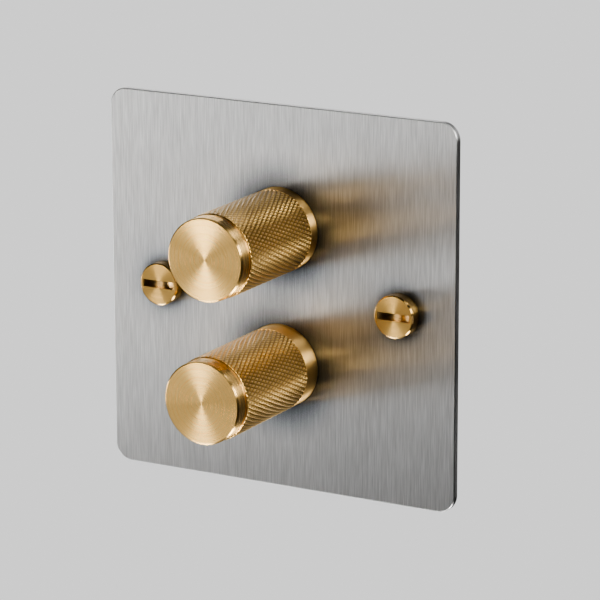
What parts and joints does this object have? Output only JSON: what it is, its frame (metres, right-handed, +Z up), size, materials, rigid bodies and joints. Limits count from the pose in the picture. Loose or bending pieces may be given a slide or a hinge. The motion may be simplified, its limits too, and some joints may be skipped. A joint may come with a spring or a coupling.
{
  "type": "rotary dimmer switch",
  "caption": "Rotary dimmer for a wall box: square brushed steel plate with long knurled brass push-and-turn knobs, slotted brass fixing screws and moulded dimmer modules behind.",
  "frame": {"origin": "centre of the gasket's rear face, which lies on the wall, midway between the two fixing screws", "axes": "+X to the right seen from the room, +Z up, +Y into the wall"},
  "size_m": [0.088, 0.0671, 0.088],
  "materials": {
    "brushed_plate": "brushed",
    "screw_brass": "spun satin",
    "cap_brass": "spun satin",
    "grip_brass": "knurled satin",
    "plated_steel": "zinc plated",
    "frame_steel": "zinc plated",
    "sheet_film": "matte",
    "gasket_rubber": "closed-cell foam",
    "natural_nylon": "matte",
    "terminal_brass": "machined",
    "bush_alloy": "cast",
    "spindle_alloy": "turned",
    "pot_plastic": "moulded",
    "carbon_film": "matte",
    "rotor_plastic": "moulded",
    "contact_bronze": "rolled",
    "board_laminate": "solder mask",
    "switch_plastic": "moulded",
    "plunger_plastic": "moulded",
    "spring_steel": "drawn wire",
    "case_plastic": "spark-eroded",
    "cover_plastic": "spark-eroded",
    "terminal_plastic": "moulded",
    "sink_aluminium": "rolled",
    "device_epoxy": "moulded",
    "ferrite": "sintered",
    "copper_wire": "enamelled",
    "film_box": "moulded"
  },
  "bodies": {
    "root": {"face_plate": "brushed_plate", "gasket": "gasket_rubber", "plate_studs": "plated_steel", "insulating_sheet": "sheet_film", "mounting_frame": "frame_steel", "frame_nuts": "plated_steel", "screw_retainers": "natural_nylon", "earth_terminal": "terminal_brass", "earth_screw": "plated_steel", "bush_nuts": "plated_steel", "lock_washers": "plated_steel", "fixing_screw_left": "screw_brass", "fixing_screw_right": "screw_brass", "upper_control_bush": "bush_alloy", "upper_pot_housing": "pot_plastic", "upper_resistance_track": "carbon_film", "upper_circuit_board": "board_laminate", "upper_push_switch_body": "switch_plastic", "upper_return_spring": "spring_steel", "upper_module_case": "case_plastic", "upper_rear_cover": "cover_plastic", "upper_terminal_block": "terminal_plastic", "upper_terminal_clamps": "terminal_brass", "upper_terminal_screws": "plated_steel", "upper_heat_sink": "sink_aluminium", "upper_power_transistors": "device_epoxy", "upper_choke_core": "ferrite", "upper_choke_winding": "copper_wire", "upper_capacitor": "film_box", "lower_control_bush": "bush_alloy", "lower_pot_housing": "pot_plastic", "lower_resistance_track": "carbon_film", "lower_circuit_board": "board_laminate", "lower_push_switch_body": "switch_plastic", "lower_return_spring": "spring_steel", "lower_module_case": "case_plastic", "lower_rear_cover": "cover_plastic", "lower_terminal_block": "terminal_plastic", "lower_terminal_clamps": "terminal_brass", "lower_terminal_screws": "plated_steel", "lower_heat_sink": "sink_aluminium", "lower_power_transistors": "device_epoxy", "lower_choke_core": "ferrite", "lower_choke_winding": "copper_wire", "lower_capacitor": "film_box"},
    "upper_pusher": {"upper_switch_plunger": "plunger_plastic"},
    "upper_knob": {"upper_knob_cap": "cap_brass", "upper_knob_body": "grip_brass", "upper_knob_insert": "natural_nylon", "upper_spindle": "spindle_alloy"},
    "upper_wiper": {"upper_wiper_rotor": "rotor_plastic", "upper_wiper_contact": "contact_bronze"},
    "lower_pusher": {"lower_switch_plunger": "plunger_plastic"},
    "lower_knob": {"lower_knob_cap": "cap_brass", "lower_knob_body": "grip_brass", "lower_knob_insert": "natural_nylon", "lower_spindle": "spindle_alloy"},
    "lower_wiper": {"lower_wiper_rotor": "rotor_plastic", "lower_wiper_contact": "contact_bronze"}
  },
  "joints": [
    {"name": "upper_push", "type": "slide", "parent": "root", "child": "upper_pusher", "axis": [0, 1, 0], "range_m": [-0.002, 0.0004], "stiffness_N_per_m": 400, "deforming": ["upper_return_spring"]},
    {"name": "upper_turn", "type": "hinge", "parent": "upper_pusher", "child": "upper_knob", "pos_m": [0, 0, 0.01575], "axis": [0, 1, 0], "range_deg": [-135, 135]},
    {"name": "upper_wipe", "type": "hinge", "parent": "root", "child": "upper_wiper", "pos_m": [0, 0, 0.01575], "axis": [0, 1, 0], "range_deg": [-135, 135]},
    {"name": "lower_push", "type": "slide", "parent": "root", "child": "lower_pusher", "axis": [0, 1, 0], "range_m": [0, 0.0024], "stiffness_N_per_m": 400, "deforming": ["lower_return_spring"]},
    {"name": "lower_turn", "type": "hinge", "parent": "lower_pusher", "child": "lower_knob", "pos_m": [0, 0, -0.01575], "axis": [0, 1, 0], "range_deg": [-135, 135]},
    {"name": "lower_wipe", "type": "hinge", "parent": "root", "child": "lower_wiper", "pos_m": [0, 0, -0.01575], "axis": [0, 1, 0], "range_deg": [-135, 135]}
  ],
  "couplings": [
    {"joint": "upper_wipe", "follows": "upper_turn", "ratio": 1},
    {"joint": "lower_wipe", "follows": "lower_turn", "ratio": 1}
  ]
}
